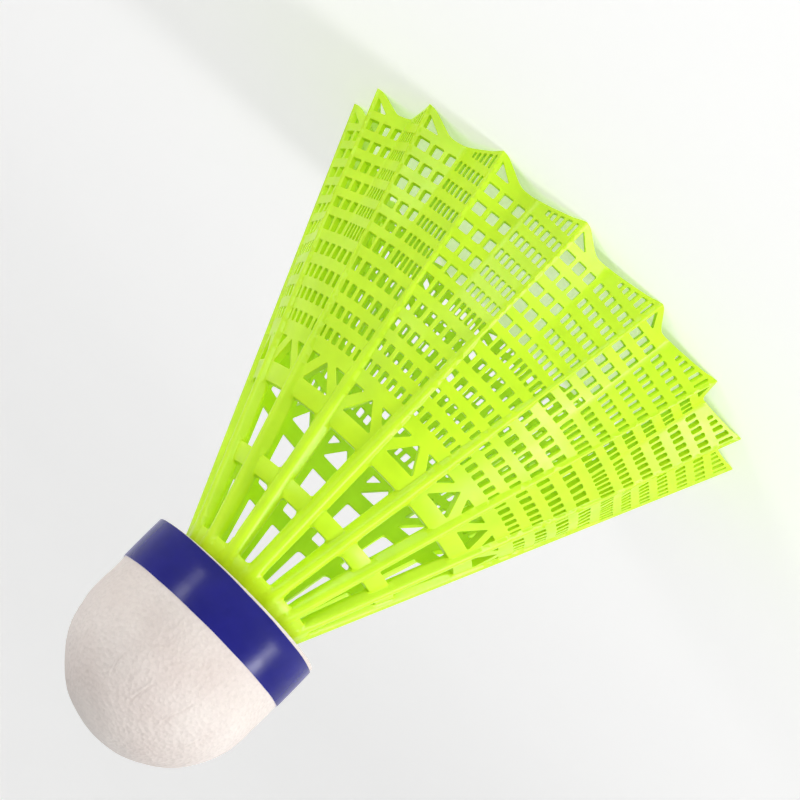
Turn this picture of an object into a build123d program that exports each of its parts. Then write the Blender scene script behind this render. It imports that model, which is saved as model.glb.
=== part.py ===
from build123d import *
import os
from math import cos, radians

# A badminton shuttlecock standing on the points of its skirt, cork uppermost.
# Millimetres. Origin: centre of the circle of skirt points. +Z is the axis, towards the cork.
# Heights are measured up from the skirt points, so the lattice rows nearest the open end come first.

# Driving dimensions
FEATHERS = 16
TIP_RADIUS = 33.05  # outside of the ribs at the open end
NECK_RADIUS = 9.1  # outside of the ribs where they meet the cork
SKIRT_HEIGHT = 54.6  # skirt points to the flat face of the cork
CORK_RADIUS = 13.0  # over the rim band
CORK_SIDE = 11.1  # straight side of the cork, below its dome

# Ribs, tapering from the neck to the points
RIB_WIDTH_TIP, RIB_WIDTH_NECK = 0.8, 2.2
RIB_DEPTH_TIP, RIB_DEPTH_NECK = 1.0, 2.05
RIB_PROUD_TIP, RIB_PROUD_NECK = 0.1, 1.0  # how far a rib stands out of the wall
RIB_CHAMFER = 0.25  # of the width, off each outer corner

# Wall of the moulding between the ribs
WALL = 0.7
HOOP_WALL = 0.9
LOWER_HOOP = (41.6, 43.8)  # heights of its two edges
UPPER_HOOP = (32.3, 34.5)
VANE_TOP = 29.0  # the truss stands between the upper hoop and this height
TRUSS_APEX = 0.3  # wall left between the vane and the big triangle's point
TRUSS_HALF = 2.2  # half the base of the big triangle
CORNER_REACH, CORNER_DROP = 1.5, 1.45  # the small triangle beside each rib
COLLAR_BOTTOM = 52.0
COLLAR_WALL = 1.5

# Pleat of the vane: each feather is two flat facets that meet in a valley
PLEAT_DEPTH = 2.2  # at the points, in from the straight line between two ribs
VALLEY_ANGLE = 12.15  # round from a rib
VALLEY_DIP = 0.018  # drop of a row at the valley for each mm below the vane's top
VANE_ROOT = 1.4  # height of the thicker band that joins the facets to the truss
VANE_ROOT_WALL = 1.9  # at the valley
RIB_LAP, VALLEY_LAP = 0.03, 0.08  # shares of a facet by which it runs into its rib and the other facet
POINT_SETBACK = 0.3  # the wall stops this far above the ribs' ends

# Openings of the lattice
SLOT_ROW_FIRST, SLOT_ROW_PITCH, SLOT_ROWS = 4.05, 2.34, 6
SLOT_ROW_HEIGHT = 1.15
BOX_ROW_FIRST, BOX_ROW_PITCH, BOX_ROWS = 18.7, 2.67, 4
BOX_ROW_HEIGHT = 1.3
BOX_COLUMNS, BOX_PITCH_ANGLE, BOX_WIDTH_ANGLE = 6, 3.6, 1.9
SLOTS, SLOT_START, SLOT_PITCH, SLOT_WIDTH = 6, 0.06, 0.16, 0.08  # shares of the slotted facet
SQUARES, SQUARE_START, SQUARE_PITCH, SQUARE_WIDTH = 3, 0.03, 0.34, 0.235  # of the other facet

# Scalloped edge: the wall stops short of the line of the points by this much
SCALLOP_DEPTH = 1.45
SCALLOP_FLAT = 0.3  # share of the squares facet, from the valley, that is at full depth
POINT_SLOTS = 4
POINT_OPENING_TOP = 2.3  # height at which the openings of the points end
POINT_MARGIN = 0.7  # wall left between the scallop and the slots of the points
POINT_TRIANGLE_LOW = 0.9  # height of the triangle's sharp end
OVERCUT_SHARE, OVERCUT = 0.2, 3.0  # how far the scallop's cut runs past the facet, across and down

# Plug, glue and cork
PLUG_RADIUS = 7.9
PLUG_WALL = 1.3
PLUG_LENGTH = 8.0
PLUG_FLOOR = 1.2
VENT_RADIUS = 1.5
GLUE = 0.15
CORK_JOIN = 10.0  # thickness of the pressed cork disc behind the natural cork dome
COVER = 0.5
BAND_HEIGHT = 6.0
BAND = 0.15
RIM_SETBACK = 0.3  # strip of cover left showing between the cork's flat face and the band

BAY = 360 / FEATHERS
CORK_FACE = SKIRT_HEIGHT
DOME_CENTRE = CORK_FACE + CORK_SIDE
COVER_RADIUS = CORK_RADIUS - BAND
CORE_RADIUS = COVER_RADIUS - COVER


os.makedirs("parts", exist_ok=True)


def taper(height, at_tip, at_neck):
    return at_tip + (at_neck - at_tip) * height / SKIRT_HEIGHT


def rib_radius(height):
    return taper(height, TIP_RADIUS, NECK_RADIUS)


def wall_radius(height):
    return rib_radius(height) - taper(height, RIB_PROUD_TIP, RIB_PROUD_NECK)


def polar_point(radius, angle, height):
    return Vector(radius, 0, height).rotate(Axis.Z, angle)


def rib_section(height):
    """Corners of a rib's section, on the rib at angle zero."""
    outside = rib_radius(height)
    inside = outside - taper(height, RIB_DEPTH_TIP, RIB_DEPTH_NECK)
    half = taper(height, RIB_WIDTH_TIP, RIB_WIDTH_NECK) / 2
    corner = 2 * half * RIB_CHAMFER
    return [
        (inside, -half),
        (outside - corner, -half),
        (outside, -half + corner),
        (outside, half - corner),
        (outside - corner, half),
        (inside, half),
    ]


def rib_edge(height, side):
    """Where the wall meets the flank of the rib at angle zero (side 1) or of the next rib (side -1)."""
    half = taper(height, RIB_WIDTH_TIP, RIB_WIDTH_NECK) / 2
    point = Vector(wall_radius(height), side * half, height)
    return point if side > 0 else point.rotate(Axis.Z, BAY)


def facet_plane(side):
    """Outer face of a facet, facing out: it holds the rib's edge and the valley's low end."""
    corner = rib_edge(0, side)
    along = rib_edge(VANE_TOP, side) - corner
    across = valley_end - corner
    return Plane(corner, x_dir=along, z_dir=across.cross(along) * side)


def facet_outline(side, corners):
    """Corners given as (across, height), turned into the facet's own plane.

    across runs from 0 at the facet's rib to 1 at the valley. A row dips a little towards the valley,
    because it keeps its distance from the cork along the folded wall.
    """
    outline = []
    for across, height in corners:
        dipped = height - (VANE_TOP - height) * VALLEY_DIP
        valley = valley_end + valley_run * (dipped / valley_run.Z)
        point = facets[side].to_local_coords(rib_edge(height, side) * (1 - across) + valley * across)
        outline.append((point.X, point.Y))
    return outline


def root_section(height):
    """The band across a bay at one height, from inside one rib to inside the next, deepest at the valley."""
    outside = wall_radius(height)
    corners = [(outside, 0), (outside, BAY)]
    corners += [(outside - WALL, BAY), (outside - VANE_ROOT_WALL, VALLEY_ANGLE), (outside - WALL, 0)]
    points = [polar_point(radius, angle, 0) for radius, angle in corners]
    return [(point.X, point.Y) for point in points]


def box_corners(across, width, low, high):
    return [(across, low), (across + width, low), (across + width, high), (across, high)]


def row_edges(row):
    middle = SLOT_ROW_FIRST + row * SLOT_ROW_PITCH
    return middle - SLOT_ROW_HEIGHT / 2, middle + SLOT_ROW_HEIGHT / 2


def slotted_openings():
    """The narrow slots: six to a row, then the shortening slots of the point itself."""
    openings = []
    for row in range(SLOT_ROWS):
        for slot in range(SLOTS):
            across = SLOT_START + slot * SLOT_PITCH
            openings.append(box_corners(across, SLOT_WIDTH, *row_edges(row)))
    for slot in range(POINT_SLOTS):
        across = SLOT_START + slot * SLOT_PITCH
        low = edge_height(1, across) + POINT_MARGIN
        openings.append(box_corners(across, SLOT_WIDTH, low, POINT_OPENING_TOP))
    return openings


def square_openings():
    """The square openings: three to a row, then the triangle beside the rib at the point."""
    openings = []
    for row in range(SLOT_ROWS):
        for square in range(SQUARES):
            across = SQUARE_START + square * SQUARE_PITCH
            openings.append(box_corners(across, SQUARE_WIDTH, *row_edges(row)))
    openings.append(
        [
            (SQUARE_START, POINT_TRIANGLE_LOW),
            (SQUARE_START, POINT_OPENING_TOP),
            (SQUARE_START + SQUARE_WIDTH, POINT_OPENING_TOP),
        ]
    )
    return openings


def edge_height(side, across):
    """Height of the scalloped edge: long and gentle on the slotted facet, short and steep on the other."""
    if side > 0:
        return POINT_SETBACK + SCALLOP_DEPTH * across
    return POINT_SETBACK + SCALLOP_DEPTH * min(1.0, across / (1 - SCALLOP_FLAT))


def scallop(side):
    """The region of a facet beyond its scalloped edge."""
    return [
        (-OVERCUT_SHARE, -OVERCUT),
        (-OVERCUT_SHARE, POINT_SETBACK),
        (0, POINT_SETBACK),
        (1 - SCALLOP_FLAT, edge_height(side, 1 - SCALLOP_FLAT)),
        (1, edge_height(side, 1)),
        (1 + OVERCUT_SHARE, edge_height(side, 1)),
        (1 + OVERCUT_SHARE, -OVERCUT),
    ]


straight_radius = wall_radius(0) * cos(radians(BAY / 2)) / cos(radians(VALLEY_ANGLE - BAY / 2))
valley_end = polar_point(straight_radius - PLEAT_DEPTH, VALLEY_ANGLE, 0)
facets = {side: facet_plane(side) for side in (1, -1)}
valley_run = facets[1].z_dir.cross(facets[-1].z_dir)


# ---- Skirt moulding: ribs ----
with BuildPart() as rib:
    for height in (0, SKIRT_HEIGHT):
        with BuildSketch(Plane.XY.offset(height)):
            with BuildLine():
                Polyline(*rib_section(height), close=True)
            make_face()
    loft(ruled=True)

with BuildPart() as skirt_ribs:
    with PolarLocations(0, FEATHERS):
        add(rib.part)


skirt_ribs.part.label = "skirt_ribs"
export_step(skirt_ribs.part, "parts/skirt_ribs.step")


# ---- Skirt moulding: collar at the cork, and the plug sunk in it ----
with BuildPart() as skirt_collar:
    with BuildSketch(Plane.XZ):
        with BuildLine():
            Polyline(
                (wall_radius(COLLAR_BOTTOM) - COLLAR_WALL, COLLAR_BOTTOM),
                (wall_radius(COLLAR_BOTTOM), COLLAR_BOTTOM),
                (wall_radius(CORK_FACE), CORK_FACE),
                (PLUG_RADIUS, CORK_FACE),
                (PLUG_RADIUS, CORK_FACE + PLUG_LENGTH),
                (VENT_RADIUS, CORK_FACE + PLUG_LENGTH),
                (VENT_RADIUS, CORK_FACE + PLUG_LENGTH - PLUG_FLOOR),
                (PLUG_RADIUS - PLUG_WALL, CORK_FACE + PLUG_LENGTH - PLUG_FLOOR),
                (PLUG_RADIUS - PLUG_WALL, CORK_FACE),
                close=True,
            )
        make_face()
    revolve(axis=Axis.Z)
    add(skirt_ribs.part, mode=Mode.SUBTRACT)


skirt_collar.part.label = "skirt_collar"
export_step(skirt_collar.part, "parts/skirt_collar.step")


def hoop_bay(low, high):
    """One bay of a hoop that follows the cone of the wall, from rib to rib."""
    with BuildPart() as bay:
        with BuildSketch(Plane.XZ):
            with BuildLine():
                Polyline(
                    (wall_radius(low) - HOOP_WALL, low),
                    (wall_radius(low), low),
                    (wall_radius(high), high),
                    (wall_radius(high) - HOOP_WALL, high),
                    close=True,
                )
            make_face()
        revolve(axis=Axis.Z, revolution_arc=BAY)
        add(rib.part, mode=Mode.SUBTRACT)
        add(rib.part.rotate(Axis.Z, BAY), mode=Mode.SUBTRACT)
    return bay.part


# ---- Skirt moulding: lower hoop, between the ribs ----
lower_bay = hoop_bay(*LOWER_HOOP)
with BuildPart() as skirt_lower_hoop:
    with PolarLocations(0, FEATHERS):
        add(lower_bay)
skirt_lower_hoop.part.label = "skirt_lower_hoop"
export_step(skirt_lower_hoop.part, "parts/skirt_lower_hoop.step")


# ---- Skirt moulding: upper hoop with the truss that carries the vane ----
bay_front = Plane((0, 0, 0), x_dir=Vector(0, 1, 0).rotate(Axis.Z, BAY / 2), z_dir=polar_point(1, BAY / 2, 0))
truss_foot = UPPER_HOOP[0]
corner_side = wall_radius(VANE_TOP) * radians(BAY / 2)

with BuildPart() as truss_bay:
    add(hoop_bay(VANE_TOP, UPPER_HOOP[1]))
    with BuildSketch(bay_front):
        Polygon((-TRUSS_HALF, truss_foot), (TRUSS_HALF, truss_foot), (0, VANE_TOP + TRUSS_APEX), align=None)
        for side in (-1, 1):
            Polygon(
                (side * CORNER_REACH, VANE_TOP),
                (side * corner_side, VANE_TOP),
                (side * corner_side, VANE_TOP + CORNER_REACH + CORNER_DROP),
                align=None,
            )
    extrude(amount=TIP_RADIUS, mode=Mode.SUBTRACT)

with BuildPart() as skirt_truss_hoop:
    with PolarLocations(0, FEATHERS):
        add(truss_bay.part)
skirt_truss_hoop.part.label = "skirt_truss_hoop"
export_step(skirt_truss_hoop.part, "parts/skirt_truss_hoop.step")


# ---- Skirt moulding: the pleated lattice vane, one folded panel to a feather ----
with BuildPart() as vane:
    with BuildSketch(Plane.XY.offset(VANE_TOP)):
        Polygon(*root_section(VANE_TOP), align=None)
    with BuildSketch(Plane.XY.offset(VANE_TOP - VANE_ROOT)):
        Polygon(*root_section(VANE_TOP - VANE_ROOT), align=None)
    loft(ruled=True)
    for side, openings in ((1, slotted_openings()), (-1, square_openings())):
        whole = box_corners(-RIB_LAP, 1 + RIB_LAP + VALLEY_LAP, 0, VANE_TOP)
        with BuildSketch(facets[side]):
            Polygon(*facet_outline(side, whole), align=None)
            for corners in openings + [scallop(side)]:
                Polygon(*facet_outline(side, corners), align=None, mode=Mode.SUBTRACT)
        extrude(amount=-WALL)
    with BuildSketch(bay_front):
        for row in range(BOX_ROWS):
            height = BOX_ROW_FIRST + row * BOX_ROW_PITCH
            arc = radians(1) * wall_radius(height)
            for column in range(BOX_COLUMNS):
                middle = (column - (BOX_COLUMNS - 1) / 2) * BOX_PITCH_ANGLE * arc
                with Locations((middle, height)):
                    Rectangle(BOX_WIDTH_ANGLE * arc, BOX_ROW_HEIGHT)
    extrude(amount=TIP_RADIUS, mode=Mode.SUBTRACT)
    with BuildSketch(Plane.XY.offset(VANE_TOP)):
        Circle(TIP_RADIUS)
    extrude(amount=WALL, mode=Mode.SUBTRACT)
    add(rib.part, mode=Mode.SUBTRACT)
    add(rib.part.rotate(Axis.Z, BAY), mode=Mode.SUBTRACT)

with BuildPart() as skirt_vanes:
    with PolarLocations(0, FEATHERS):
        add(vane.part)
skirt_vanes.part.label = "skirt_vanes"
export_step(skirt_vanes.part, "parts/skirt_vanes.step", write_pcurves=False)


# ---- Cork: a natural cork dome glued on a disc of pressed cork with the recess for the plug ----
with BuildPart() as cork_dome:
    with BuildSketch(Plane.XZ):
        with BuildLine():
            Line((0, CORK_FACE + CORK_JOIN), (CORE_RADIUS, CORK_FACE + CORK_JOIN))
            Line((CORE_RADIUS, CORK_FACE + CORK_JOIN), (CORE_RADIUS, DOME_CENTRE))
            CenterArc((0, DOME_CENTRE), CORE_RADIUS, 0, 90)
            Line((0, DOME_CENTRE + CORE_RADIUS), (0, CORK_FACE + CORK_JOIN))
        make_face()
    revolve(axis=Axis.Z)
cork_dome.part.label = "cork_dome"
export_step(cork_dome.part, "parts/cork_dome.step")

with BuildPart() as cork_base:
    with BuildSketch(Plane.XY.offset(CORK_FACE)):
        Circle(CORE_RADIUS)
    extrude(amount=CORK_JOIN)
    with BuildSketch(Plane.XY.offset(CORK_FACE)):
        Circle(PLUG_RADIUS + GLUE)
    extrude(amount=PLUG_LENGTH + GLUE, mode=Mode.SUBTRACT)
cork_base.part.label = "cork_base"
export_step(cork_base.part, "parts/cork_base.step")

with BuildPart() as plug_glue:
    with BuildSketch(Plane.XY.offset(CORK_FACE)):
        Circle(PLUG_RADIUS + GLUE)
    extrude(amount=PLUG_LENGTH + GLUE)
    with BuildSketch(Plane.XY.offset(CORK_FACE)):
        Circle(PLUG_RADIUS)
    extrude(amount=PLUG_LENGTH, mode=Mode.SUBTRACT)
    with BuildSketch(Plane.XY.offset(CORK_FACE)):
        Circle(VENT_RADIUS)
    extrude(amount=PLUG_LENGTH + GLUE, mode=Mode.SUBTRACT)
plug_glue.part.label = "plug_glue"
export_step(plug_glue.part, "parts/plug_glue.step")


# ---- Cover: one thin skin over the cork's side and dome ----
with BuildPart() as cork_cover:
    with BuildSketch(Plane.XZ):
        with BuildLine():
            Line((CORE_RADIUS, CORK_FACE), (COVER_RADIUS, CORK_FACE))
            Line((COVER_RADIUS, CORK_FACE), (COVER_RADIUS, DOME_CENTRE))
            CenterArc((0, DOME_CENTRE), COVER_RADIUS, 0, 90)
            Line((0, DOME_CENTRE + COVER_RADIUS), (0, DOME_CENTRE + CORE_RADIUS))
            CenterArc((0, DOME_CENTRE), CORE_RADIUS, 0, 90)
            Line((CORE_RADIUS, DOME_CENTRE), (CORE_RADIUS, CORK_FACE))
        make_face()
    revolve(axis=Axis.Z)
cork_cover.part.label = "cork_cover"
export_step(cork_cover.part, "parts/cork_cover.step")


# ---- Rim band: tape wrapped round the cover at the cork's flat end ----
with BuildPart() as rim_band:
    with BuildSketch(Plane.XY.offset(CORK_FACE + RIM_SETBACK)):
        Circle(CORK_RADIUS)
        Circle(COVER_RADIUS, mode=Mode.SUBTRACT)
    extrude(amount=BAND_HEIGHT)
rim_band.part.label = "rim_band"
export_step(rim_band.part, "parts/rim_band.step")
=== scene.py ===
import math
import bpy
import numpy as np
from mathutils import Matrix, Vector
from mathutils.geometry import delaunay_2d_cdt


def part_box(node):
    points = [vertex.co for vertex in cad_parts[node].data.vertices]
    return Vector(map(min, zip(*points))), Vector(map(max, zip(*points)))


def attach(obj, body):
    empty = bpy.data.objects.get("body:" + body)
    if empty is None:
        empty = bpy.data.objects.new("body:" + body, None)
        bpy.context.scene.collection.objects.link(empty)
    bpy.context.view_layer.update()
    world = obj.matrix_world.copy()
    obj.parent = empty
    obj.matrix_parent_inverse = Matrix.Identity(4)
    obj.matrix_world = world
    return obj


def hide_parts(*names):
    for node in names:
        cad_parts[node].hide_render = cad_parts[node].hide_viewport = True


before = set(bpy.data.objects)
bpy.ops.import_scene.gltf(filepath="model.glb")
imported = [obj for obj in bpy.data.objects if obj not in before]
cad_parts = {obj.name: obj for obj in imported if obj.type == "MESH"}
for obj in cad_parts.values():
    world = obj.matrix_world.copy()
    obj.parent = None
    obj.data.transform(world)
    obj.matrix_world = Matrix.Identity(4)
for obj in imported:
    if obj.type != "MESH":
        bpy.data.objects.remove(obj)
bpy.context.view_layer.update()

MM = 0.001
DEGREE = math.pi / 180

# ---- Sizes taken from the CAD nodes, in millimetres ----
TIP_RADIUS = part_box("skirt_ribs")[1].x / MM
SKIRT_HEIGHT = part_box("cork_base")[0].z / MM
PLUG_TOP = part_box("skirt_collar")[1].z / MM
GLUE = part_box("plug_glue")[1].z / MM - PLUG_TOP
PLUG_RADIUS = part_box("plug_glue")[1].x / MM - GLUE
COVER_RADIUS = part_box("cork_cover")[1].x / MM
COVER_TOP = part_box("cork_cover")[1].z / MM
CORE_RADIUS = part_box("cork_dome")[1].x / MM
BAND_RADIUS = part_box("rim_band")[1].x / MM
BAND_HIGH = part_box("rim_band")[1].z / MM
DOME_CENTRE = COVER_TOP - COVER_RADIUS

# ---- Skirt design ----
# The moulding is laid out on one bay, from one rib's middle (a = 0 degrees) to the next (a = BAY).
# h is the distance up from the points in millimetres, before the pleats' dip.
FEATHERS = 16
BAY = 360 / FEATHERS
NECK_RADIUS = 9.1
CONE_SLOPE = (TIP_RADIUS - NECK_RADIUS) / SKIRT_HEIGHT
RIB_DEPTH_TIP, RIB_DEPTH_NECK = 1.0, 2.05
LOWER_HOOP = (41.6, 43.85)
UPPER_HOOP = (32.25, 34.5)
SLOT_TOP = 51.95  # cork end of the openings between the ribs
COLLAR_LOW = 51.8  # where the inside starts to narrow to the plug's bore
VANE_TOP = 29.1
PLEAT_TOP = 21.6  # the pleats fade out at this height
PLEAT = 0.144  # depth of a pleat for each mm below its top
PLEAT_DIP = 0.0475  # drop of a row in the valley for each mm below the pleats' top
PLEAT_BOW = 0.18  # fullness of a facet between rib and valley
VALLEY = 12.0  # angle of the valley from the rib, at the open end
RIM_DEPTH = 1.77  # of the scallops
RIM_LOW = 13.3  # angle at which the gentle side of a scallop is lowest
RIM_STEEP = 7.5  # angle that the steep side takes
POINT_BLUNT, POINT_SINK = 0.1, 0.065  # rounding of the points, and what keeps them on the floor
SCALLOP_LIFT, SCALLOP_START = 0.2, 3  # extra height of the scallops, full this many degrees from a rib
HOOP_STEP = 0.35  # wall that stays between the rib's flank and an opening
PLUG_WALL, PLUG_FLOOR, PLUG_VENT, PLUG_CHAMFER = 1.3, 1.2, 1.5, 0.25
BORE_RADIUS = PLUG_RADIUS - PLUG_WALL


def ridge_radius(h):
    """Outside of the cone that the ribs' ridges lie on."""
    return TIP_RADIUS - CONE_SLOPE * h


def smooth(t):
    """0 below t = 0, 1 above t = 1, and an S between."""
    t = np.clip(t, 0, 1)
    return t * t * (3 - 2 * t)


def rib_half(h):
    """Half the width of a rib's proud part."""
    return np.interp(h, [0, 15, 28.5, 50, 54.6], [0.24, 0.26, 0.80, 1.04, 1.06])


def rib_base(h):
    """Half the width of a rib at its foot, between the openings."""
    return np.interp(h, [30, 38, 47.6, 52, 54.6], [1.28, 1.3, 1.25, 1.2, 1.18])


def rib_proud(h):
    """How far a rib stands out of the wall."""
    heights = [0, 14, 20, 26, 30, 38, 45, 50.6, 52.6, 54.6]
    return np.interp(h, heights, [0.12, 0.14, 0.3, 0.5, 0.6, 0.75, 0.85, 0.8, 0.35, 0.2])


def web_thickness(h):
    return np.interp(h, [0, 26, 30, 54.6], [0.7, 0.72, 0.9, 0.9])


def valley_angle(h):
    return np.interp(h, [0, 15.8, 17.6, 54.6], [VALLEY, VALLEY, BAY / 2, BAY / 2])


def fold(a, h):
    """0 on the ribs, 1 in the valley between them."""
    a = np.mod(a, BAY)
    v = valley_angle(h)
    return np.where(a < v, a / v, (BAY - a) / (BAY - v))


def window_mask(h):
    """1 where the wall between the ribs is open, 0 across the hoops."""
    mask = 0
    for low, high in ((UPPER_HOOP[1], LOWER_HOOP[0]), (LOWER_HOOP[1], SLOT_TOP)):
        mask = mask + smooth((h - low + 0.1) / 0.6) * smooth((high + 0.1 - h) / 0.6)
    return mask


def side_distance(a, h):
    a = np.mod(a, BAY)
    return np.minimum(a, BAY - a) * DEGREE * ridge_radius(h)


def pleat_drop(a, h):
    share = fold(a, h)
    bow = PLEAT_BOW * smooth((24 - h) / 8) * 4 * share * (1 - share)
    return PLEAT * np.maximum(0, PLEAT_TOP - h) * share + bow


def outer_radius(a, h):
    s, half, base = side_distance(a, h), rib_half(h), rib_base(h)
    drop = rib_proud(h) * np.minimum(1, s / half) ** 2.5
    flank = np.clip((s - half) / (base - half), 0, 1)
    drop = drop + window_mask(h) * (web_thickness(h) - HOOP_STEP) * flank
    return ridge_radius(h) - drop - pleat_drop(a, h)


def inner_radius(a, h):
    s = side_distance(a, h)
    half = np.where(h > 31, rib_base(h), rib_half(h) + 0.1)
    level = rib_proud(h) + web_thickness(h)
    depth = RIB_DEPTH_TIP + (RIB_DEPTH_NECK - RIB_DEPTH_TIP) * h / SKIRT_HEIGHT
    bump = np.maximum(0, depth - level) * np.maximum(0, 1 - (s / half) ** 2)
    radius = ridge_radius(h) - level - bump - pleat_drop(a, h)
    collar = smooth((h - COLLAR_LOW) / (SKIRT_HEIGHT - COLLAR_LOW))
    return radius + (BORE_RADIUS - radius) * collar


def height(a, h):
    """Real height of a place on the bay: rows dip into the valleys."""
    return h - PLEAT_DIP * np.maximum(0, PLEAT_TOP - h) * fold(a, h)


def cylinder_points(radius, a, z):
    angle = a * DEGREE
    return np.stack([radius * np.cos(angle), radius * np.sin(angle), z], -1)


def outer_point(a, h):
    return cylinder_points(outer_radius(a, h), a, height(a, h))


def inner_point(a, h):
    return cylinder_points(inner_radius(a, h), a, height(a, h))


def unit(v):
    return v / np.maximum(np.linalg.norm(v, axis=-1, keepdims=True), 1e-12)


def surface_normal(point, a, h):
    """Outward normal of a surface that is given as a function of angle and height."""
    step = 0.07
    turn = step / (DEGREE * ridge_radius(h))
    across = point(a + turn, h) - point(a - turn, h)
    along = point(a, h + step) - point(a, h - step)
    return unit(np.cross(across, along))


def rim_height(a):
    """The scalloped edge: a long gentle side and a short steep one to each point."""
    gentle = RIM_DEPTH * (1 - (1 - np.minimum(a, RIM_LOW) / RIM_LOW) ** 1.3)
    steep = RIM_DEPTH * smooth((BAY - a) / RIM_STEEP)
    return np.where(a > 15, steep, gentle)


def flat_x(a, h):
    """Distance from mid-bay along the wall, which is what the openings are laid out in."""
    return (a - BAY / 2) * DEGREE * ridge_radius(h)


def bay_angle(x, h):
    """The reverse of flat_x."""
    return BAY / 2 + x / (DEGREE * ridge_radius(h))


# ---- Openings: convex outlines with rounded corners, counterclockwise ----
def rounded(corners, radius, arc, step):
    """Anchor points and outward directions; a ring at offset o is anchor + (radius + o) * direction."""
    corners = np.array(corners, float)
    count = len(corners)
    anchors, outward = [], []
    edge = unit(np.roll(corners, -1, 0) - corners)
    normal = np.stack([edge[:, 1], -edge[:, 0]], -1)
    centres = []
    for i in range(count):
        n0, n1 = normal[i - 1], normal[i]
        centres.append(corners[i] - radius * (n0 + n1) / (1 + n0 @ n1))
    for i in range(count):
        start = math.atan2(normal[i - 1][1], normal[i - 1][0])
        turn = (math.atan2(normal[i][1], normal[i][0]) - start) % (2 * math.pi)
        for k in range(arc):
            angle = start + turn * k / (arc - 1)
            anchors.append(centres[i])
            outward.append((math.cos(angle), math.sin(angle)))
        following = centres[(i + 1) % count]
        run = np.linalg.norm(following - centres[i])
        pieces = int(run // step)
        for k in range(1, pieces + 1):
            anchors.append(centres[i] + (following - centres[i]) * k / (pieces + 1))
            outward.append(tuple(normal[i]))
    return np.array(anchors), np.array(outward), radius


# Corner styles: radius, points round a corner, longest straight step
NARROW, SMALL, MEDIUM, LARGE = (0.07, 2, 9), (0.1, 2, 9), (0.12, 2, 9), (0.28, 5, 1.0)
POINT_SLOT, POINT_TRIANGLE = (0.08, 2, 9), (0.06, 3, 9)
TRUSS_LARGE, TRUSS_SMALL, NECK_SLOT = (0.14, 4, 1.0), (0.11, 4, 1.0), (0.42, 5, 1.0)

# Rows as heights of their two edges, openings as angles from the rib
FINE_ROWS = ((3.5, 4.6), (5.8, 6.9), (8.16, 9.3), (10.5, 11.64), (12.84, 13.9), (15.1, 16.6))
WIDE_ROWS = ((18.0, 19.4), (20.8, 22.16), (23.5, 24.7), (26.1, 27.3))
FINE_SLOTS = ((0.78, 1.36), (2.2, 3.12), (4.2, 5.12), (6.17, 7.06), (7.92, 8.93), (9.93, 10.8))
FINE_SQUARES = ((12.55, 14.42), (15.74, 17.92), (19.1, 21.6))
POINT_SLOTS = ((0.8, 1.35), (2.15, 3.25), (4.05, 4.95), (5.75, 6.65), (7.35, 8.15))
POINT_BASE = 2.42  # height at which the openings of a point end
POINT_WALL = 0.58  # wall between the rim and the slots of a point
POINT_SPIKE = (21.72, 0.92)  # sharp end of the triangle
POINT_TRIANGLE_FAR = 18.35
WIDE_MIDDLES = (-5.47, -1.82, 1.82, 5.47)
WIDE_WIDTHS = (2.1, 2.05, 1.95, 1.8)
WIDE_STARTS = (1.45, 1.66, 1.96, 2.3)  # start of the narrow opening beside each rib
WIDE_END = 2.95
GROWTH = 0.06  # by which a row's openings are larger all round than these angles and heights
TRUSS_APEX, TRUSS_HALF = 29.25, 2.35  # the big triangle
TRUSS_REACH, TRUSS_CORNER, TRUSS_MARGIN = 1.45, 30.75, 0.14  # the small one beside each rib


def cell(a0, a1, h0, h1):
    """An opening of a row, counterclockwise, in flat millimetres."""
    h0, h1 = h0 - GROWTH, h1 + GROWTH
    return [
        (flat_x(a0, h0) - GROWTH, h0),
        (flat_x(a1, h0) + GROWTH, h0),
        (flat_x(a1, h1) + GROWTH, h1),
        (flat_x(a0, h1) - GROWTH, h1),
    ]


def fine_openings():
    holes = []
    for low, high in FINE_ROWS:
        for a0, a1 in FINE_SLOTS + FINE_SQUARES:
            corner = NARROW if (a0, a1) == FINE_SLOTS[0] else SMALL
            holes.append(rounded(cell(a0, a1, low, high), *corner))
    return holes


def point_openings():
    holes = []
    for a0, a1 in POINT_SLOTS:
        low0, low1 = float(rim_height(a0)) + POINT_WALL, float(rim_height(a1)) + POINT_WALL
        corners = [(flat_x(a0, low0), low0), (flat_x(a1, low1), low1)]
        corners += [(flat_x(a1, POINT_BASE), POINT_BASE), (flat_x(a0, POINT_BASE), POINT_BASE)]
        holes.append(rounded(corners, *POINT_SLOT))
    spike, low = POINT_SPIKE
    corners = [(flat_x(spike, low), low), (flat_x(spike, POINT_BASE), POINT_BASE)]
    corners += [(flat_x(POINT_TRIANGLE_FAR, POINT_BASE), POINT_BASE)]
    holes.append(rounded(corners, *POINT_TRIANGLE))
    return holes


def wide_openings():
    holes = []
    for (low, high), width, start in zip(WIDE_ROWS, WIDE_WIDTHS, WIDE_STARTS):
        for middle in WIDE_MIDDLES:
            centre = BAY / 2 + middle
            holes.append(rounded(cell(centre - width / 2, centre + width / 2, low, high), *MEDIUM))
        holes.append(rounded(cell(start, WIDE_END, low, high), *NARROW))
        holes.append(rounded(cell(BAY - WIDE_END, BAY - start, low, high), *NARROW))
    return holes


def truss_openings():
    foot = UPPER_HOOP[0]
    holes = [rounded([(0, TRUSS_APEX), (TRUSS_HALF, foot), (-TRUSS_HALF, foot)], *TRUSS_LARGE)]
    corners = [(TRUSS_REACH, VANE_TOP), (bay_edge(VANE_TOP), VANE_TOP), (bay_edge(30), TRUSS_CORNER)]
    for side in (-1, 1):
        turned = [(side * x, h) for x, h in corners]
        holes.append(rounded(turned[::side], *TRUSS_SMALL))
    return holes


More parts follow.
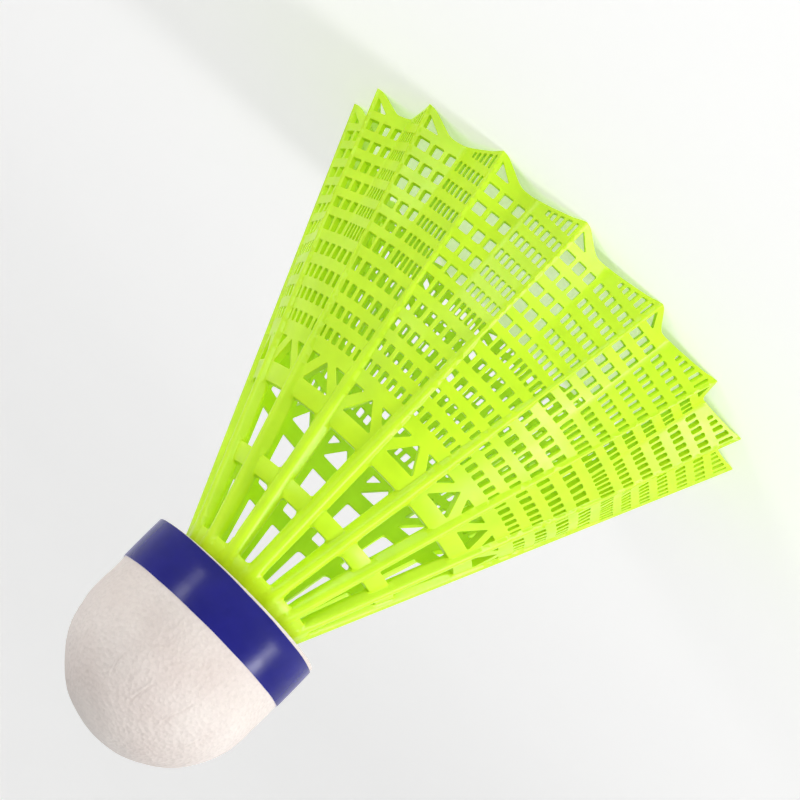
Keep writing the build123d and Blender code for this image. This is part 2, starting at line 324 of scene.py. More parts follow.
def rib_openings():
    """The two long openings of a bay, on each side of the lower hoop."""
    holes = []
    for low, high, corner in ((UPPER_HOOP[1], LOWER_HOOP[0], LARGE), (LOWER_HOOP[1], SLOT_TOP, NECK_SLOT)):
        lower, upper = window_edge(low), window_edge(high)
        holes.append(rounded([(-lower, low), (lower, low), (upper, high), (-upper, high)], *corner))
    return holes


def openings():
    return fine_openings() + point_openings() + wide_openings() + truss_openings() + rib_openings()


def bay_edge(h):
    """Flat distance from mid-bay to the wall's end at the rib, for the truss."""
    return float(ridge_radius(h) * BAY / 2 * DEGREE - rib_half(h) - TRUSS_MARGIN)


def window_edge(h):
    """Flat distance from mid-bay to the foot of the rib."""
    return float(ridge_radius(h) * BAY / 2 * DEGREE - rib_base(h))


EDGE = 0.08  # rounding of the lips of the openings


class BayMesh:
    """One bay of the moulding, from one rib's middle to the next, as numpy arrays."""

    def __init__(self):
        self.points, self.normals, self.faces = [], [], []
        self.left, self.right = {}, {}
        self.count = 0

    def add(self, points, normals):
        start = self.count
        self.points.append(points)
        self.normals.append(normals)
        self.count += len(points)
        return np.arange(start, start + len(points))

    def seam(self, layer, indices, angles, heights):
        """Notes the points on the bay's two seams, so that neighbouring bays share them."""
        for index, a, h in zip(indices, angles, heights):
            if abs(a) < 1e-6:
                self.left[(layer, round(float(h), 4))] = int(index)
            elif abs(a - BAY) < 1e-6:
                self.right[(layer, round(float(h), 4))] = int(index)

    def strip(self, ring_a, ring_b, closed):
        """Quads between two rings; counterclockwise rings give faces that look into the opening."""
        ends = range(len(ring_a)) if closed else range(len(ring_a) - 1)
        for k in ends:
            n = (k + 1) % len(ring_a)
            self.faces.append((ring_a[k], ring_a[n], ring_b[n], ring_b[k]))


def frames(a):
    """Directions round the skirt and up its cone."""
    angle = a * DEGREE
    zero = np.zeros_like(angle)
    outward = np.stack([np.cos(angle), np.sin(angle), zero], -1)
    around = np.stack([-np.sin(angle), np.cos(angle), zero], -1)
    up = unit(-CONE_SLOPE * outward + np.array([0, 0, 1.0]))
    return around, up


def ring_levels(bay, positions, wall, layer, seam_key):
    """The three rings inside an edge: rounded outer lip, outer wall, inner wall."""
    made = []
    # shift from the wall and depth, as shares of the lip's rounding
    for shift, share, from_outside in ((0.3, 0.3, True), (0, 1, True), (0, 1, False)):
        x, h = positions(EDGE * shift)
        a = bay_angle(x, h)
        outer, inner = outer_radius(a, h), inner_radius(a, h)
        lip = np.minimum(EDGE, 0.4 * (outer - inner)) * share
        radius = outer - lip if from_outside else inner + lip
        points = cylinder_points(radius, a, height(a, h))
        normal = wall if shift == 0 else unit(wall + surface_normal(outer_point, a, h))
        ring = bay.add(points, normal)
        bay.seam((layer, len(made)), ring, a, seam_key(h))
        made.append(ring)
    return made


# Stations of the bay's outline, as angles from the rib
RIM_ANGLES = np.concatenate([
    [0, 0.22, 0.44, 0.62],
    np.arange(1.2, 14.9, 0.85),
    [15, 15.7, 16.5, 17.3, 18.1, 18.9, 19.6, 20.3, 21, 21.5, 21.88, 22.06, 22.28, BAY],
])
NECK_ANGLES = np.array([0, 2.4, 4.6, 6.4, 8.5, 11.25, 14.0, 16.1, 17.9, 20.1, BAY])
RIB_HEIGHTS = np.arange(1.0, SKIRT_HEIGHT - 0.5, 1.0)
VALLEY_HEIGHTS = np.concatenate([[2.4, 3.1], np.arange(3.7, PLEAT_TOP, 0.6)])
COLLAR_HEIGHTS = (52.6, 53.3, 54.0)
CLEARANCE = 0.05  # least distance from a free point to an opening
RIM_CLEARANCE = 0.35


def rim_line():
    """Heights of the rim at RIM_ANGLES, with blunt points that stand on the floor."""
    from_tip = np.minimum(RIM_ANGLES, BAY - RIM_ANGLES)
    blunt = np.hypot(rim_height(RIM_ANGLES), POINT_BLUNT) - POINT_SINK
    return blunt + SCALLOP_LIFT * smooth(from_tip / SCALLOP_START)


def is_clear(point, outlines):
    """Whether a flat point lies outside all openings and away from their edges."""
    for outline in outlines:
        along = np.roll(outline, -1, 0) - outline
        offset = point - outline
        if (along[:, 0] * offset[:, 1] - along[:, 1] * offset[:, 0] > 0).all():
            return False
        t = np.clip((offset * along).sum(1) / np.maximum((along ** 2).sum(1), 1e-12), 0, 1)
        if np.linalg.norm(offset - along * t[:, None], axis=1).min() < CLEARANCE:
            return False
    return True


def rib_stations(h):
    """Distances from a rib's middle at which its rounding needs points."""
    half, base = float(rib_half(h)), float(rib_base(h))
    if UPPER_HOOP[1] - 0.5 < h < SLOT_TOP + 0.5:
        return [0.45 * half, 0.8 * half, half, (half + base) / 2]
    if h < 15:
        return [0.5 * half, half]
    return [0.45 * half, 0.8 * half, half, half + 0.12]


def free_points(outlines):
    """Points that carry the rounding of the ribs and of the collar."""
    points = []
    for h in RIB_HEIGHTS:
        bay_half = float(flat_x(BAY, h))
        for s in rib_stations(h):
            for side in (-1, 1):
                point = np.array([side * (bay_half - s), h])
                low = float(rim_height(np.array(bay_angle(point[0], h)))) + RIM_CLEARANCE
                if h > low and is_clear(point, outlines):
                    points.append(tuple(point))
    for h in COLLAR_HEIGHTS:
        points.extend((float(flat_x(a, h)), h) for a in NECK_ANGLES[3:-3])
    return points


def flat_sheet(holes):
    """Triangulates the flat bay round its openings.

    Gives the points, the triangles, and the indices of the rim, the neck and each opening's edge.
    """
    sheet, edges = [], []

    def chain(points, closed):
        indices = list(range(len(sheet), len(sheet) + len(points)))
        sheet.extend(points)
        edges.extend(zip(indices, indices[1:] + indices[:1] if closed else indices[1:]))
        return np.array(indices)

    rim_h = rim_line() + EDGE
    outline = list(zip(flat_x(RIM_ANGLES, rim_h), rim_h))
    outline += [(flat_x(BAY, h), h) for h in RIB_HEIGHTS]
    outline += [(flat_x(a, SKIRT_HEIGHT), SKIRT_HEIGHT) for a in NECK_ANGLES[::-1]]
    outline += [(flat_x(0.0, h), h) for h in RIB_HEIGHTS[::-1]]
    border = chain(outline, True)
    rim_ring = border[:len(RIM_ANGLES)]
    neck_start = len(RIM_ANGLES) + len(RIB_HEIGHTS)
    neck_ring = border[neck_start:neck_start + len(NECK_ANGLES)][::-1]

    hole_rings = []
    for anchors, outward, radius in holes:
        hole_rings.append(chain(list(anchors + (radius + EDGE) * outward), True))
    chain([(float(flat_x(valley_angle(h), h)), float(h)) for h in VALLEY_HEIGHTS], False)
    outlines = [np.array([sheet[i] for i in ring]) for ring in hole_rings]
    sheet.extend(free_points(outlines))

    made = delaunay_2d_cdt([Vector(p) for p in sheet], [tuple(map(int, e)) for e in edges], [], 1, 1e-7)
    if len(made[0]) != len(sheet):
        raise RuntimeError(f"the openings cross: {len(made[0])} points from {len(sheet)}")
    original = [source[0] for source in made[3]]
    triangles = np.array([[original[i] for i in face] for face in made[2]])
    flat = np.array(sheet)
    middles = flat[triangles].mean(1)
    keep = np.ones(len(triangles), bool)
    for outline_points in outlines:
        inside = np.ones(len(triangles), bool)
        for p, q in zip(outline_points, np.roll(outline_points, -1, 0)):
            d = q - p
            inside &= d[0] * (middles[:, 1] - p[1]) - d[1] * (middles[:, 0] - p[0]) > 0
        keep &= ~inside
    return flat, triangles[keep], rim_ring, neck_ring, hole_rings


def opening_walls(bay, holes, hole_rings, outer, inner):
    """Lines each opening from the outside to the inside."""
    for (anchors, outward, radius), ring in zip(holes, hole_rings):
        def positions(shift, anchors=anchors, outward=outward, radius=radius):
            spots = anchors + (radius + shift) * outward
            return spots[:, 0], spots[:, 1]
        around, up = frames(bay_angle(*positions(0)))
        wall = unit(-(outward[:, :1] * around + outward[:, 1:] * up))
        rings = [outer[ring], *ring_levels(bay, positions, wall, None, lambda h: h), inner[ring]]
        for first, second in zip(rings, rings[1:]):
            bay.strip(first, second, True)


def rim_wall(bay, rim_ring, outer, inner):
    """The scalloped edge between the outside and the inside."""
    rim_h = rim_line()

    def positions(shift):
        return flat_x(RIM_ANGLES, rim_h + shift), rim_h + shift
    slope = np.gradient(rim_h, flat_x(RIM_ANGLES, rim_h))
    around, up = frames(RIM_ANGLES)
    wall = unit(slope[:, None] * around - up)
    wall[0], wall[-1] = unit(-up[0]), unit(-up[-1])
    levels = ring_levels(bay, positions, wall, "rim", lambda h: h * 0)
    rings = [outer[rim_ring], *levels, inner[rim_ring]]
    for first, second in zip(rings, rings[1:]):
        bay.strip(first[::-1], second[::-1], False)


def plug_wall(bay, neck_ring, outer, inner):
    """Rings from the neck, up the plug, through its vent and back down its bore."""
    outward, inward, upward, downward = (1, 0), (-1, 0), (0, 1), (0, -1)
    chamfer, floor = PLUG_CHAMFER, PLUG_TOP - PLUG_FLOOR
    profile = [
        (PLUG_RADIUS, SKIRT_HEIGHT, outward),
        (PLUG_RADIUS, PLUG_TOP - chamfer, outward),
        (PLUG_RADIUS - chamfer, PLUG_TOP, upward),
        (PLUG_VENT + chamfer, PLUG_TOP, upward),
        (PLUG_VENT, PLUG_TOP - chamfer, inward),
        (PLUG_VENT, floor + chamfer, inward),
        (PLUG_VENT + chamfer, floor, downward),
        (BORE_RADIUS - chamfer, floor, downward),
        (BORE_RADIUS, floor - chamfer, inward),
    ]
    count = len(NECK_ANGLES)
    angle = NECK_ANGLES * DEGREE
    rings = [outer[neck_ring]]
    for level, (radius, z, (level_out, level_up)) in enumerate(profile):
        points = cylinder_points(np.full(count, radius), NECK_ANGLES, np.full(count, z))
        normals = [level_out * np.cos(angle), level_out * np.sin(angle), np.full(count, float(level_up))]
        ring = bay.add(points, np.stack(normals, -1))
        bay.seam(("plug", level), ring, NECK_ANGLES, NECK_ANGLES * 0)
        rings.append(ring)
    rings.append(inner[neck_ring])
    for first, second in zip(rings, rings[1:]):
        bay.strip(first, second, False)


def skirt_bay():
    """The outside and the inside of one bay, joined round the openings, the rim and the plug."""
    bay = BayMesh()
    holes = openings()
    flat, triangles, rim_ring, neck_ring, hole_rings = flat_sheet(holes)
    x, h = flat[:, 0], flat[:, 1]
    a = bay_angle(x, h)
    a[np.abs(a) < 1e-7] = 0
    a[np.abs(a - BAY) < 1e-7] = BAY
    outer = bay.add(outer_point(a, h), surface_normal(outer_point, a, h))
    inner = bay.add(inner_point(a, h), -surface_normal(inner_point, a, h))
    bay.seam("outer", outer, a, h)
    bay.seam("inner", inner, a, h)
    for i, j, k in triangles:
        bay.faces.append((outer[i], outer[j], outer[k]))
        bay.faces.append((inner[i], inner[k], inner[j]))
    opening_walls(bay, holes, hole_rings, outer, inner)
    rim_wall(bay, rim_ring, outer, inner)
    plug_wall(bay, neck_ring, outer, inner)
    return bay


def mesh_piece(name, points, faces, normals=None):
    """A smooth-shaded object from points in millimetres."""
    mesh = bpy.data.meshes.new(name)
    mesh.from_pydata([tuple(p) for p in np.asarray(points) * MM], [], [tuple(map(int, f)) for f in faces])
    mesh.validate()
    mesh.polygons.foreach_set("use_smooth", [True] * len(mesh.polygons))
    if normals is not None:
        mesh.normals_split_custom_set_from_vertices([tuple(n) for n in normals])
    mesh.update()
    piece = bpy.data.objects.new(name, mesh)
    bpy.context.scene.collection.objects.link(piece)
    return piece


def build_skirt():
    """Repeats the bay round the axis; points on a bay's right seam are the next bay's left ones."""
    bay = skirt_bay()
    base, normals = np.concatenate(bay.points), np.concatenate(bay.normals)
    if set(bay.left) != set(bay.right):
        raise RuntimeError(f"the bays don't meet: {set(bay.left) ^ set(bay.right)}")
    partner = {bay.right[key]: bay.left[key] for key in bay.right}  # right seam point to left seam point
    own = np.array([i for i in range(bay.count) if i not in partner])
    slot_of = np.full(bay.count, -1)
    slot_of[own] = np.arange(len(own))
    points, all_normals, faces = [], [], []
    for b in range(FEATHERS):
        turn = b * BAY * DEGREE
        c, s = math.cos(turn), math.sin(turn)
        matrix = np.array([[c, -s, 0], [s, c, 0], [0, 0, 1]])
        points.append(base[own] @ matrix.T)
        all_normals.append(normals[own] @ matrix.T)
        lookup = slot_of + b * len(own)
        following = ((b + 1) % FEATHERS) * len(own)
        for right, left in partner.items():
            lookup[right] = following + slot_of[left]
        faces.extend([tuple(lookup[i] for i in face) for face in bay.faces])
    return mesh_piece("skirt", np.concatenate(points), faces, np.concatenate(all_normals))


skirt = build_skirt()
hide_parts("skirt_ribs", "skirt_collar", "skirt_lower_hoop", "skirt_truss_hoop", "skirt_vanes")
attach(skirt, "root")


# ---- Cork cover: a thin skin with an uneven stretch, a few creases and a turned-in edge ----
COVER_SEGMENTS = 480
SIDE_STEPS, DOME_STEPS, INNER_STEPS = 34, 64, 32
SIDE_LENGTH = DOME_CENTRE - SKIRT_HEIGHT
COVER_EDGE = 0.16  # rounding of the turned-in edge
CREASE_WIDTH = 0.14
CREASES = (  # angle round the cork, start and end along the skin from its edge, depth
    (18.1, 14.2, 18.8, 0.15), (-2.9, 14.2, 19.4, 0.12), (-26.5, 13.0, 18.6, 0.12), (-51, 14, 18.5, 0.08),
    (-84, 13.2, 18, 0.10), (49, 14.5, 19, 0.08), (83, 13.5, 18.4, 0.10), (118, 14.2, 19.2, 0.09),
    (152, 13, 17.6, 0.11), (-171, 14.4, 19, 0.10), (-140, 13.6, 18.8, 0.09), (-112, 14, 18, 0.08),
)


def wave(seed, theta, t, waves, climbs):
    """A smooth uneven field on the cover, from waves round it and up it with random strengths."""
    rng = np.random.default_rng(seed)
    value = np.zeros(np.broadcast(theta, t).shape)
    for n in waves:
        for m in climbs:
            strength = rng.normal()
            around = np.cos(n * theta + rng.uniform(0, 6.28))
            value = value + strength * around * np.cos(m * t + rng.uniform(0, 6.28))
    return value / math.sqrt(len(waves) * len(climbs))


def crease(theta, t, angle, start, end, depth):
    """A fine furrow along the skin with a low ridge beside it."""
    drift = math.radians(angle) + 0.02 * math.sin(t * 0.9 + angle)
    narrowing = max(0.2, math.cos(max(0, t - SIDE_LENGTH) / COVER_RADIUS))
    gap = np.angle(np.exp(1j * (theta - drift))) * COVER_RADIUS * narrowing
    along = smooth((t - start) / 1.4) * smooth((end - t) / 1.4)
    ridge = 0.8 * np.exp(-((gap - 0.24) / CREASE_WIDTH) ** 2)
    return depth * along * (ridge - np.exp(-(gap / CREASE_WIDTH) ** 2))


def cover_relief(theta, t):
    """Height of the skin over its nominal surface, t along the skin from its edge."""
    value = 0.035 * wave(3, theta, t * 0.45, (2, 3, 5, 7), (1, 2))
    value = value + 0.012 * wave(5, theta, t, (17, 23, 31), (2, 3))
    for place in CREASES:
        value = value + crease(theta, t, *place)
    return value


def cover_rows():
    """The outside as rows of radius, height, normal, share of the relief and distance along the skin."""
    rows = []
    for k in range(5):
        angle = math.pi / 2 * (k / 4) - math.pi / 2
        c, s = math.cos(angle), math.sin(angle)
        radius, z = COVER_RADIUS - COVER_EDGE + COVER_EDGE * c, SKIRT_HEIGHT + COVER_EDGE + COVER_EDGE * s
        rows.append((radius, z, c, s, 0, 0))
    clear_of_band = BAND_HIGH + 0.1
    for k in range(1, SIDE_STEPS + 1):
        t = COVER_EDGE + (SIDE_LENGTH - COVER_EDGE) * k / SIDE_STEPS
        share = min(1.0, max(0.0, (SKIRT_HEIGHT + t - clear_of_band) / 1.5))
        rows.append((COVER_RADIUS, SKIRT_HEIGHT + t, 1, 0, share, t))
    for k in range(1, DOME_STEPS + 1):
        angle = math.pi / 2 * k / DOME_STEPS
        c, s = math.cos(angle), math.sin(angle)
        radius = 0 if k == DOME_STEPS else COVER_RADIUS * c
        t = SIDE_LENGTH + COVER_RADIUS * angle
        rows.append((radius, DOME_CENTRE + COVER_RADIUS * s, c, s, min(1.0, c * 4), t))
    return rows


def lining_rows():
    """The inside, which lies on the cork."""
    rows = [(CORE_RADIUS, SKIRT_HEIGHT)]
    for k in range(INNER_STEPS + 1):
        angle = math.pi / 2 * k / INNER_STEPS
        radius = 0 if k == INNER_STEPS else CORE_RADIUS * math.cos(angle)
        rows.append((radius, DOME_CENTRE + CORE_RADIUS * math.sin(angle)))
    return rows


def build_cover():
    theta = np.arange(COVER_SEGMENTS) * 2 * math.pi / COVER_SEGMENTS
    points, faces = [], []

    def ring_of(radius, z):
        """Adds a ring, or one point at the pole, and gives its indices."""
        start = len(points)
        if np.ndim(radius) == 0 and radius == 0:
            points.append((0, 0, z))
        else:
            ring = np.broadcast_arrays(radius * np.cos(theta), radius * np.sin(theta), z)
            points.extend(zip(*ring))
        return list(range(start, len(points)))

    def join(first, second, outward=True):
        for k in range(COVER_SEGMENTS):
            n = (k + 1) % COVER_SEGMENTS
            face = [first[k], first[n]] + ([second[0]] if len(second) == 1 else [second[n], second[k]])
            faces.append(tuple(face if outward else face[::-1]))

    rings = []
    for radius, z, out, up, share, t in cover_rows():
        lift = cover_relief(theta, t) * share if share else 0
        rings.append(ring_of(radius + out * lift if radius else 0, z + up * lift if radius else z))
    lining = [ring_of(radius, z) for radius, z in lining_rows()]
    for first, second in zip(rings, rings[1:]):
        join(first, second)
    join(lining[0], rings[0])
    for first, second in zip(lining, lining[1:]):
        join(first, second, False)
    return mesh_piece("cork_skin", points, faces)


cover = build_cover()
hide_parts("cork_cover")
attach(cover, "root")


# ---- Rim band: tape round the cover, with its end lapped over its start ----
BAND_SEGMENTS = 256
LAP_AT, LAP_ANGLE, LAP_HEIGHT = 205.0, 7.0, 0.12  # where the lap lies, in degrees, and how proud it is
TAPE_EDGE = 0.06  # rounding of the tape's edges
TAPE_SINK = 0.02  # how far the tape presses into the cover
TAPE_BELLY = 0.02  # fullness of its middle
CUT_FACES = (7, 8)  # faces of the section along the upper cut edge, which are coloured pale


def tape_section(angle, phase):
    """The tape's section at an angle round the cork, as radius and height, from its inside foot."""
    t = angle * DEGREE
    skew = 0.45 * (0.5 - 0.5 * math.sin(t)) ** 1.5
    low = SKIRT_HEIGHT + 0.08 + skew
    low += 0.02 * math.sin(3 * t + phase[0]) + 0.015 * math.sin(11 * t + phase[1])
    high = BAND_HIGH - 0.02
    high += 0.025 * math.sin(2 * t + phase[2]) + 0.015 * math.sin(13 * t + phase[3])
    lap_start, lap_end = smooth((angle - LAP_AT) / 0.9), smooth((LAP_AT + LAP_ANGLE - angle) / 3)
    outside = BAND_RADIUS + LAP_HEIGHT * float(lap_start) * float(lap_end)
    inside = COVER_RADIUS - TAPE_SINK
    belly = outside + TAPE_BELLY
    corner = TAPE_EDGE * 0.3
    return [
        (inside, low),
        (outside - TAPE_EDGE, low),
        (outside - corner, low + corner),
        (outside, low + TAPE_EDGE),
        (belly, low + (high - low) * 0.33),
        (belly, low + (high - low) * 0.66),
        (outside, high - TAPE_EDGE),
        (outside - corner, high - corner),
        (outside - TAPE_EDGE, high),
        (inside, high),
    ]


def build_band():
    phase = np.random.default_rng(11).uniform(0, 6.28, 4)
    points, faces = [], []
    for k in range(BAND_SEGMENTS):
        angle = 360 * k / BAND_SEGMENTS
        section = tape_section(angle, phase)
        t = angle * DEGREE
        points.extend((radius * math.cos(t), radius * math.sin(t), z) for radius, z in section)
    width = len(section)
    for k in range(BAND_SEGMENTS):
        n = (k + 1) % BAND_SEGMENTS
        for i in range(width):
            j = (i + 1) % width
            faces.append((k * width + i, n * width + i, n * width + j, k * width + j))
    cut_edge = [k * width + i for k in range(BAND_SEGMENTS) for i in CUT_FACES]
    return mesh_piece("rim_tape", points, faces), cut_edge


band, band_edge_faces = build_band()
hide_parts("rim_band")
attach(band, "root")


# ---- Materials ----
MIX_A, MIX_B, MIX_RESULT = 6, 7, 2  # the colour sockets of a mix node


class Nodes:
    """A material under construction, with shorthand for its node tree."""

    def __init__(self, name):
        self.material = bpy.data.materials.new(name)
        self.material.use_nodes = True
        self.tree = self.material.node_tree
        self.shader = self.tree.nodes["Principled BSDF"]
        self.place = self.add("ShaderNodeTexCoord")

    def add(self, kind, **inputs):
        node = self.tree.nodes.new(kind)
        for key, value in inputs.items():
            node.inputs[key.replace("_", " ")].default_value = value
        return node

    def link(self, out, into):
        self.tree.links.new(out, into)

    def noise(self, scale, detail=3.0, roughness=0.5, stretch=None):
        node = self.add("ShaderNodeTexNoise", Scale=scale, Detail=detail, Roughness=roughness)
        source = self.place.outputs["Object"]
        if stretch:
            mapping = self.add("ShaderNodeMapping")
            mapping.inputs["Scale"].default_value = stretch
            self.link(source, mapping.inputs["Vector"])
            source = mapping.outputs["Vector"]
        self.link(source, node.inputs["Vector"])
        return node.outputs["Fac"]

    def ramp(self, source, stops):
        node = self.add("ShaderNodeValToRGB")
        elements = node.color_ramp.elements
        while len(elements) < len(stops):
            elements.new(0.5)
        for element, (position, colour) in zip(elements, stops):
            element.position = position
            element.color = (*colour, 1)
        self.link(source, node.inputs["Fac"])
        return node.outputs["Color"]

    def multiply(self, first, second, factor):
        node = self.add("ShaderNodeMix")
        node.data_type, node.blend_type = "RGBA", "MULTIPLY"
        node.inputs["Factor"].default_value = factor
        self.link(first, node.inputs[MIX_A])
        self.link(second, node.inputs[MIX_B])
        return node.outputs[MIX_RESULT]

    def bump(self, source, strength, distance, after=None):
        node = self.add("ShaderNodeBump", Strength=strength, Distance=distance)
        self.link(source, node.inputs["Height"])
        if after is not None:
            self.link(after, node.inputs["Normal"])
        return node.outputs["Normal"]

    def range(self, source, low, high):
        node = self.add("ShaderNodeMapRange")
        node.inputs["To Min"].default_value = low
        node.inputs["To Max"].default_value = high
        self.link(source, node.inputs["Value"])
        return node.outputs["Result"]


def grey(v):
    return (v, v, v)


def nylon():
    n = Nodes("skirt_nylon")
    colour = n.ramp(n.noise(260, 3), [(0.3, (0.49, 0.77, 0.005)), (0.7, (0.57, 0.86, 0.011))])
    n.link(colour, n.shader.inputs["Base Color"])
    n.link(n.range(n.noise(900, 4), 0.30, 0.46), n.shader.inputs["Roughness"])
    n.shader.inputs["Specular IOR Level"].default_value = 0.45
    n.shader.inputs["Subsurface Weight"].default_value = 0.2
    n.shader.inputs["Subsurface Radius"].default_value = (0.6, 1.0, 0.08)
    n.shader.inputs["Subsurface Scale"].default_value = 0.0012
    # Painted glow: a faint lime emission makes the nylon glow a little by itself, which lifts and
    # saturates its shaded parts.
    n.shader.inputs["Emission Color"].default_value = (0.66, 0.9, 0.01, 1)
    n.shader.inputs["Emission Strength"].default_value = 0.05
    grain = n.bump(n.noise(1400, 4, 0.6), 0.25, 0.00004)
    flow = n.bump(n.noise(350, 2, 0.5, (1, 1, 0.25)), 0.3, 0.00008, grain)
    n.link(flow, n.shader.inputs["Normal"])
    return n.material


def leather():
    n = Nodes("cover_leather")
    tone = n.ramp(n.noise(110, 4), [(0.3, (0.66, 0.58, 0.545)), (0.7, (0.74, 0.68, 0.64))])
    speck = n.ramp(n.noise(1600, 4, 0.7), [(0.36, grey(0.80)), (0.52, grey(1.0))])
    n.link(n.multiply(tone, speck, 0.3), n.shader.inputs["Base Color"])
    n.link(n.range(n.noise(700, 3), 0.55, 0.75), n.shader.inputs["Roughness"])
    n.shader.inputs["Specular IOR Level"].default_value = 0.35
    n.shader.inputs["Sheen Weight"].default_value = 0.12
    cells = n.add("ShaderNodeTexVoronoi", Scale=1700.0)
    n.link(n.place.outputs["Object"], cells.inputs["Vector"])
    pores = n.bump(cells.outputs["Distance"], 0.8, 0.00012)
    wrinkle = n.bump(n.noise(800, 5, 0.7), 0.6, 0.00012, pores)
    n.link(wrinkle, n.shader.inputs["Normal"])
    return n.material


def tape():
    n = Nodes("band_tape")
    colour = n.ramp(n.noise(300, 4), [(0.3, (0.004, 0.005, 0.15)), (0.75, (0.008, 0.008, 0.19))])
    n.link(colour, n.shader.inputs["Base Color"])
    n.link(n.range(n.noise(500, 4), 0.19, 0.29), n.shader.inputs["Roughness"])
    n.shader.inputs["Specular IOR Level"].default_value = 0.25
    fine = n.bump(n.noise(2200, 3, 0.6), 0.2, 0.00003)
    ripple = n.bump(n.noise(160, 2, 0.5, (1, 1, 0.3)), 0.35, 0.00015, fine)
    n.link(ripple, n.shader.inputs["Normal"])
    return n.material


# A pale lavender colour for the faces along the tape's upper cut edge.
def pale_tape_edge():
    n = Nodes("pale_tape_edge")
    colour = n.ramp(n.noise(700, 3), [(0.3, (0.60, 0.58, 0.76)), (0.7, (0.78, 0.76, 0.90))])
    n.link(colour, n.shader.inputs["Base Color"])
    n.link(n.range(n.noise(900, 2), 0.4, 0.6), n.shader.inputs["Roughness"])
    return n.material


def cork(name, light, dark, scale):
    n = Nodes(name)
    cells = n.add("ShaderNodeTexVoronoi", Scale=scale)
    n.link(n.place.outputs["Object"], cells.inputs["Vector"])
    colour = n.ramp(cells.outputs["Color"], [(0.2, dark), (0.55, light)])
    lenticels = n.ramp(n.noise(scale * 0.6, 5, 0.7), [(0.35, (0.35, 0.2, 0.1)), (0.55, grey(1.0))])
    n.link(n.multiply(colour, lenticels, 0.6), n.shader.inputs["Base Color"])
    n.link(n.range(n.noise(scale, 2), 0.8, 0.95), n.shader.inputs["Roughness"])
    n.link(n.bump(cells.outputs["Distance"], 0.6, 0.0002), n.shader.inputs["Normal"])
    return n.material


def glue():
    n = Nodes("set_glue")
    colour = n.ramp(n.noise(500, 3), [(0.3, (0.62, 0.50, 0.30)), (0.7, (0.78, 0.68, 0.46))])
    n.link(colour, n.shader.inputs["Base Color"])
    n.link(n.range(n.noise(900, 2), 0.15, 0.3), n.shader.inputs["Roughness"])
    n.link(n.bump(n.noise(700, 3), 0.4, 0.0001), n.shader.inputs["Normal"])
    return n.material


def dress(piece, material):
    """Puts one material on the whole piece."""
    if not piece.material_slots:
        piece.data.materials.append(material)
    for place in piece.material_slots:
        place.material = material


dress(skirt, nylon())
dress(cover, leather())
dress(band, tape())
band.data.materials.append(pale_tape_edge())
for face in band_edge_faces:
    band.data.polygons[face].material_index = 1
dress(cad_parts["cork_dome"], cork("natural_cork", (0.50, 0.31, 0.16), (0.30, 0.16, 0.07), 900))
dress(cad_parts["cork_base"], cork("pressed_cork", (0.40, 0.24, 0.11), (0.20, 0.10, 0.04), 650))
dress(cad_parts["plug_glue"], glue())


# ---- Floor: flat in the middle, curving up all round like a studio sweep, in metres ----
FLOOR_RINGS = (0.05, 0.2, 0.5, 0.9)
SWEEP_RADIUS, SWEEP_STEPS = 1.6, 16
FLOOR_SEGMENTS = 96


def build_floor():
    profile = [(r, 0.0) for r in FLOOR_RINGS]
    for k in range(1, SWEEP_STEPS + 1):
        angle = math.pi / 2 * k / SWEEP_STEPS
        rise = SWEEP_RADIUS * (1 - math.cos(angle))
        profile.append((FLOOR_RINGS[-1] + SWEEP_RADIUS * math.sin(angle), rise))
    points, faces = [(0, 0, 0)], []
    for r, z in profile:
        for k in range(FLOOR_SEGMENTS):
            turn = 2 * math.pi * k / FLOOR_SEGMENTS
            points.append((r * math.cos(turn), r * math.sin(turn), z))
    for k in range(FLOOR_SEGMENTS):
        n = (k + 1) % FLOOR_SEGMENTS
        faces.append((0, 1 + k, 1 + n))
        for row in range(len(profile) - 1):
            low, high = 1 + row * FLOOR_SEGMENTS, 1 + (row + 1) * FLOOR_SEGMENTS
            faces.append((low + k, high + k, high + n, low + n))
    floor = mesh_piece("studio_floor", np.array(points) / MM, faces)
    n = Nodes("studio_paper")
    colour = n.ramp(n.noise(8, 2), [(0.3, (0.93, 0.93, 0.925)), (0.7, (0.95, 0.95, 0.945))])
    n.link(colour, n.shader.inputs["Base Color"])
    n.shader.inputs["Roughness"].default_value = 0.9
    n.shader.inputs["Specular IOR Level"].default_value = 0.1
    n.shader.inputs["Emission Color"].default_value = (1, 1, 1, 1)
    n.shader.inputs["Emission Strength"].default_value = 0.26
    dress(floor, n.material)
    return floor


build_floor()

# ---- Camera: azimuth from +X, elevation and roll in degrees, distances in metres ----
CAMERA_AZIMUTH, CAMERA_ELEVATION, CAMERA_ROLL = -3.0375, 11.09, -135.18
CAMERA_DISTANCE = 0.32115
AIM = Vector((0.000136, 0.002568, 0.023279))
LENS, SENSOR = 116.872, 36.0


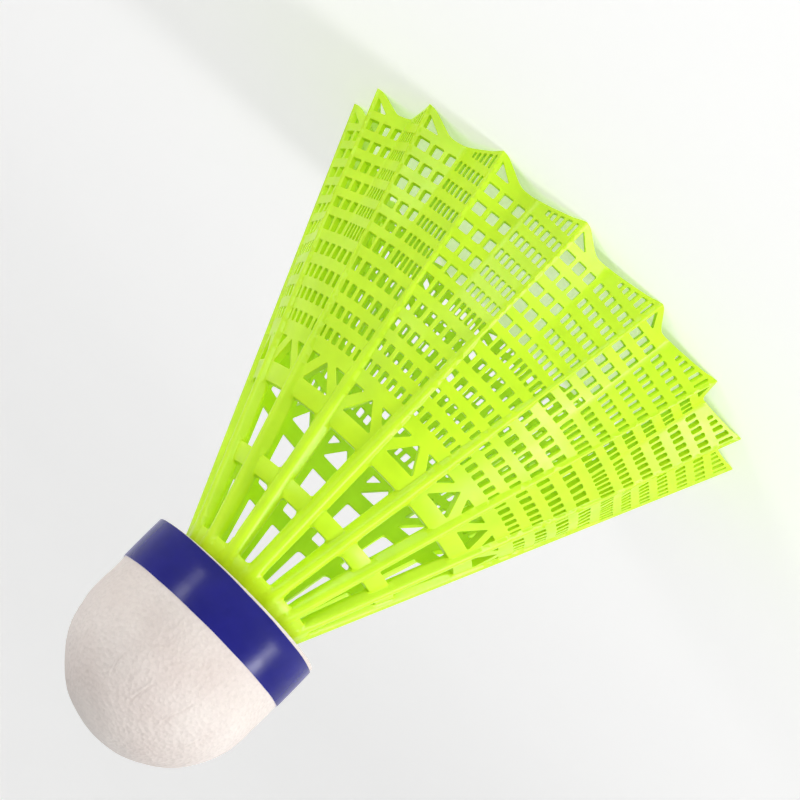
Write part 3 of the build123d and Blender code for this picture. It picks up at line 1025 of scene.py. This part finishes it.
def direction_of(azimuth, elevation):
    az, el = math.radians(azimuth), math.radians(elevation)
    return Vector((math.cos(el) * math.cos(az), math.cos(el) * math.sin(az), math.sin(el)))


def build_camera():
    roll = math.radians(CAMERA_ROLL)
    back = direction_of(CAMERA_AZIMUTH, CAMERA_ELEVATION)
    level = (-back).cross(Vector((0, 0, 1))).normalized()
    above = level.cross(-back)
    right = level * math.cos(roll) + above * math.sin(roll)
    up = above * math.cos(roll) - level * math.sin(roll)
    data = bpy.data.cameras.new("camera")
    data.lens, data.sensor_width = LENS, SENSOR
    data.clip_start, data.clip_end = 0.01, 20
    camera = bpy.data.objects.new("camera", data)
    matrix = Matrix((right, up, back)).transposed().to_4x4()
    matrix.translation = AIM + back * CAMERA_DISTANCE
    camera.matrix_world = matrix
    bpy.context.scene.collection.objects.link(camera)
    bpy.context.scene.camera = camera


build_camera()


# ---- Lights: a low soft sun and a tall softbox on each side of the camera ----
def add_light(name, kind, direction, distance, energy, size):
    """The size is an angle in degrees for a sun, a width and a height in metres for a softbox."""
    data = bpy.data.lights.new(name, kind)
    data.energy = energy
    if kind == "SUN":
        data.angle = math.radians(size)
    else:
        data.shape, data.size, data.size_y = "RECTANGLE", size[0], size[1]
    light = bpy.data.objects.new(name, data)
    direction = direction.normalized()
    light.location = AIM + direction * distance
    light.rotation_mode = "QUATERNION"
    light.rotation_quaternion = direction.to_track_quat("Z", "Y")
    light.visible_camera = False
    bpy.context.scene.collection.objects.link(light)


add_light("key", "SUN", direction_of(-40, 18), 1.0, 0.72, 12)
add_light("softbox_near", "AREA", direction_of(-73, 12), 0.6, 2.3, (0.10, 0.36))
add_light("softbox_far", "AREA", direction_of(41, 12), 0.6, 0.95, (0.08, 0.36))

world = bpy.data.worlds.new("studio")
world.use_nodes = True
world.node_tree.nodes["Background"].inputs["Color"].default_value = (1.0, 1.0, 1.0, 1)
world.node_tree.nodes["Background"].inputs["Strength"].default_value = 0.4
bpy.context.scene.world = world
bpy.context.scene.view_settings.view_transform = "Standard"
